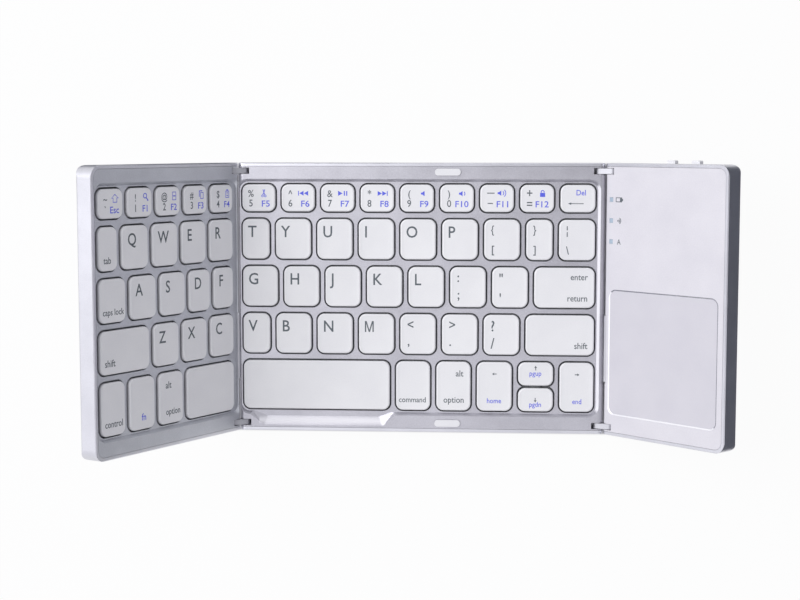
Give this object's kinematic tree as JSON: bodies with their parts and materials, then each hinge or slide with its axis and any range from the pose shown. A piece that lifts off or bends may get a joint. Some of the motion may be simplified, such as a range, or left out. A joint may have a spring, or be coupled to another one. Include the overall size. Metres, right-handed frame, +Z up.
{
  "type": "folding keyboard",
  "caption": "Compact wireless keyboard in hinged panels: keys on a middle and a left panel, touchpad on a right panel; both wings fold in over the keys.",
  "frame": {"origin": "centre of the centre panel on the plane of its feet, the table surface", "axes": "+X to the right along the keyboard, +Y to the back (number row), +Z up"},
  "size_m": [0.2175, 0.0988, 0.0735],
  "materials": {
    "shell_aluminium": "satin, silver white",
    "deck_plastic": "fine satin texture",
    "keycap_plastic": "satin",
    "membrane_film": "dark printed film",
    "dome_rubber": "matt black silicone",
    "pad_rubber": "matt",
    "foot_rubber": "matt",
    "steel": "plain",
    "link_metal": "satin",
    "sleeve_plastic": "satin",
    "cover_plastic": "satin",
    "touchpad_plastic": "fine matt",
    "circuit_board": "solder mask",
    "battery_foil": "foil",
    "socket_steel": "bright",
    "window_plastic": "clear tinted",
    "control_plastic": "satin"
  },
  "bodies": {
    "centre_panel": {"centre_tray": "shell_aluminium", "centre_deck": "deck_plastic", "centre_membrane": "membrane_film", "centre_domes": "dome_rubber", "bumper_pads": "pad_rubber", "centre_feet": "foot_rubber", "centre_screws": "steel", "centre_hinge_pins": "steel"},
    "left_link_pair": {"left_links": "link_metal", "left_ribbon": "sleeve_plastic"},
    "right_link_pair": {"right_links": "link_metal", "right_ribbon": "sleeve_plastic"},
    "left_wing": {"left_tray": "shell_aluminium", "left_deck": "deck_plastic", "left_membrane": "membrane_film", "left_domes": "dome_rubber", "left_feet": "foot_rubber", "left_screws": "steel", "left_hinge_pins": "steel"},
    "right_wing": {"right_tray": "shell_aluminium", "right_cover": "cover_plastic", "touchpad": "touchpad_plastic", "touch_board": "circuit_board", "main_board": "circuit_board", "battery": "battery_foil", "charging_socket": "socket_steel", "light_windows": "window_plastic", "right_feet": "foot_rubber", "right_screws": "steel", "right_hinge_pins": "steel"},
    "power_switch": {"power_knob": "control_plastic"},
    "pairing_control": {"pairing_button": "control_plastic"},
    "left_number_keys_body": {"left_number_keys": "keycap_plastic"},
    "tab_key_body": {"tab_key": "keycap_plastic"},
    "left_top_letter_keys_body": {"left_top_letter_keys": "keycap_plastic"},
    "caps_lock_key_body": {"caps_lock_key": "keycap_plastic"},
    "left_home_letter_keys_body": {"left_home_letter_keys": "keycap_plastic"},
    "left_shift_key_body": {"left_shift_key": "keycap_plastic"},
    "left_bottom_letter_keys_body": {"left_bottom_letter_keys": "keycap_plastic"},
    "control_key_body": {"control_key": "keycap_plastic"},
    "function_key_body": {"function_key": "keycap_plastic"},
    "left_alt_key_body": {"left_alt_key": "keycap_plastic"},
    "left_space_key_body": {"left_space_key": "keycap_plastic"},
    "number_keys_body": {"number_keys": "keycap_plastic"},
    "backspace_key_body": {"backspace_key": "keycap_plastic"},
    "top_letter_keys_body": {"top_letter_keys": "keycap_plastic"},
    "bracket_keys_body": {"bracket_keys": "keycap_plastic"},
    "home_letter_keys_body": {"home_letter_keys": "keycap_plastic"},
    "quote_keys_body": {"quote_keys": "keycap_plastic"},
    "enter_key_body": {"enter_key": "keycap_plastic"},
    "bottom_letter_keys_body": {"bottom_letter_keys": "keycap_plastic"},
    "comma_keys_body": {"comma_keys": "keycap_plastic"},
    "right_shift_key_body": {"right_shift_key": "keycap_plastic"},
    "space_bar_body": {"space_bar": "keycap_plastic"},
    "command_key_body": {"command_key": "keycap_plastic"},
    "right_alt_key_body": {"right_alt_key": "keycap_plastic"},
    "left_arrow_key_body": {"left_arrow_key": "keycap_plastic"},
    "up_arrow_key_body": {"up_arrow_key": "keycap_plastic"},
    "down_arrow_key_body": {"down_arrow_key": "keycap_plastic"},
    "right_arrow_key_body": {"right_arrow_key": "keycap_plastic"}
  },
  "joints": [
    {"name": "left_link_fold", "type": "hinge", "parent": "centre_panel", "child": "left_link_pair", "pos_m": [-0.0642, 0, 0.00555], "axis": [0, 1, 0], "range_deg": [-30.4, 59.6]},
    {"name": "left_wing_fold", "type": "hinge", "parent": "left_link_pair", "child": "left_wing", "pos_m": [-0.06817, 0, 0.00788], "axis": [0, 1, 0], "range_deg": [-30.4, 59.6]},
    {"name": "right_link_fold", "type": "hinge", "parent": "centre_panel", "child": "right_link_pair", "pos_m": [0.0642, 0, 0.00555], "axis": [0, -1, 0], "range_deg": [-21.85, 68.15]},
    {"name": "right_wing_fold", "type": "hinge", "parent": "right_link_pair", "child": "right_wing", "pos_m": [0.06847, 0, 0.00726], "axis": [0, -1, 0], "range_deg": [-21.85, 68.15]},
    {"name": "power_slide", "type": "slide", "parent": "right_wing", "child": "power_switch", "axis": [0.723, 0, 0.6909], "range_m": [0, 0.002]},
    {"name": "pairing_press", "type": "slide", "parent": "right_wing", "child": "pairing_control", "axis": [0, -1, 0], "range_m": [0, 0.0005], "stiffness_N_per_m": 600},
    {"name": "left_number_keys_press", "type": "slide", "parent": "left_wing", "child": "left_number_keys_body", "axis": [-0.8729, 0, -0.4879], "range_m": [0, 0.0011], "stiffness_N_per_m": 2000},
    {"name": "tab_key_press", "type": "slide", "parent": "left_wing", "child": "tab_key_body", "axis": [-0.8729, 0, -0.4879], "range_m": [0, 0.0011], "stiffness_N_per_m": 400},
    {"name": "left_top_letter_keys_press", "type": "slide", "parent": "left_wing", "child": "left_top_letter_keys_body", "axis": [-0.8729, 0, -0.4879], "range_m": [0, 0.0011], "stiffness_N_per_m": 1600},
    {"name": "caps_lock_key_press", "type": "slide", "parent": "left_wing", "child": "caps_lock_key_body", "axis": [-0.8729, 0, -0.4879], "range_m": [0, 0.0011], "stiffness_N_per_m": 400},
    {"name": "left_home_letter_keys_press", "type": "slide", "parent": "left_wing", "child": "left_home_letter_keys_body", "axis": [-0.8729, 0, -0.4879], "range_m": [0, 0.0011], "stiffness_N_per_m": 1600},
    {"name": "left_shift_key_press", "type": "slide", "parent": "left_wing", "child": "left_shift_key_body", "axis": [-0.8729, 0, -0.4879], "range_m": [0, 0.0011], "stiffness_N_per_m": 400},
    {"name": "left_bottom_letter_keys_press", "type": "slide", "parent": "left_wing", "child": "left_bottom_letter_keys_body", "axis": [-0.8729, 0, -0.4879], "range_m": [0, 0.0011], "stiffness_N_per_m": 1200},
    {"name": "control_key_press", "type": "slide", "parent": "left_wing", "child": "control_key_body", "axis": [-0.8729, 0, -0.4879], "range_m": [0, 0.0011], "stiffness_N_per_m": 400},
    {"name": "function_key_press", "type": "slide", "parent": "left_wing", "child": "function_key_body", "axis": [-0.8729, 0, -0.4879], "range_m": [0, 0.0011], "stiffness_N_per_m": 400},
    {"name": "left_alt_key_press", "type": "slide", "parent": "left_wing", "child": "left_alt_key_body", "axis": [-0.8729, 0, -0.4879], "range_m": [0, 0.0011], "stiffness_N_per_m": 400},
    {"name": "left_space_key_press", "type": "slide", "parent": "left_wing", "child": "left_space_key_body", "axis": [-0.8729, 0, -0.4879], "range_m": [0, 0.0011], "stiffness_N_per_m": 400},
    {"name": "number_keys_press", "type": "slide", "parent": "centre_panel", "child": "number_keys_body", "axis": [0, 0, -1], "range_m": [0, 0.0011], "stiffness_N_per_m": 3200},
    {"name": "backspace_key_press", "type": "slide", "parent": "centre_panel", "child": "backspace_key_body", "axis": [0, 0, -1], "range_m": [0, 0.0011], "stiffness_N_per_m": 400},
    {"name": "top_letter_keys_press", "type": "slide", "parent": "centre_panel", "child": "top_letter_keys_body", "axis": [0, 0, -1], "range_m": [0, 0.0011], "stiffness_N_per_m": 2400},
    {"name": "bracket_keys_press", "type": "slide", "parent": "centre_panel", "child": "bracket_keys_body", "axis": [0, 0, -1], "range_m": [0, 0.0011], "stiffness_N_per_m": 1200},
    {"name": "home_letter_keys_press", "type": "slide", "parent": "centre_panel", "child": "home_letter_keys_body", "axis": [0, 0, -1], "range_m": [0, 0.0011], "stiffness_N_per_m": 2000},
    {"name": "quote_keys_press", "type": "slide", "parent": "centre_panel", "child": "quote_keys_body", "axis": [0, 0, -1], "range_m": [0, 0.0011], "stiffness_N_per_m": 800},
    {"name": "enter_key_press", "type": "slide", "parent": "centre_panel", "child": "enter_key_body", "axis": [0, 0, -1], "range_m": [0, 0.0011], "stiffness_N_per_m": 400},
    {"name": "bottom_letter_keys_press", "type": "slide", "parent": "centre_panel", "child": "bottom_letter_keys_body", "axis": [0, 0, -1], "range_m": [0, 0.0011], "stiffness_N_per_m": 1600},
    {"name": "comma_keys_press", "type": "slide", "parent": "centre_panel", "child": "comma_keys_body", "axis": [0, 0, -1], "range_m": [0, 0.0011], "stiffness_N_per_m": 1200},
    {"name": "right_shift_key_press", "type": "slide", "parent": "centre_panel", "child": "right_shift_key_body", "axis": [0, 0, -1], "range_m": [0, 0.0011], "stiffness_N_per_m": 400},
    {"name": "space_bar_press", "type": "slide", "parent": "centre_panel", "child": "space_bar_body", "axis": [0, 0, -1], "range_m": [0, 0.0011], "stiffness_N_per_m": 400},
    {"name": "command_key_press", "type": "slide", "parent": "centre_panel", "child": "command_key_body", "axis": [0, 0, -1], "range_m": [0, 0.0011], "stiffness_N_per_m": 400},
    {"name": "right_alt_key_press", "type": "slide", "parent": "centre_panel", "child": "right_alt_key_body", "axis": [0, 0, -1], "range_m": [0, 0.0011], "stiffness_N_per_m": 400},
    {"name": "left_arrow_key_press", "type": "slide", "parent": "centre_panel", "child": "left_arrow_key_body", "axis": [0, 0, -1], "range_m": [0, 0.0011], "stiffness_N_per_m": 400},
    {"name": "up_arrow_key_press", "type": "slide", "parent": "centre_panel", "child": "up_arrow_key_body", "axis": [0, 0, -1], "range_m": [0, 0.0011], "stiffness_N_per_m": 400},
    {"name": "down_arrow_key_press", "type": "slide", "parent": "centre_panel", "child": "down_arrow_key_body", "axis": [0, 0, -1], "range_m": [0, 0.0011], "stiffness_N_per_m": 400},
    {"name": "right_arrow_key_press", "type": "slide", "parent": "centre_panel", "child": "right_arrow_key_body", "axis": [0, 0, -1], "range_m": [0, 0.0011], "stiffness_N_per_m": 400}
  ],
  "couplings": [
    {"joint": "left_wing_fold", "follows": "left_link_fold", "ratio": 1},
    {"joint": "right_wing_fold", "follows": "right_link_fold", "ratio": 1}
  ]
}
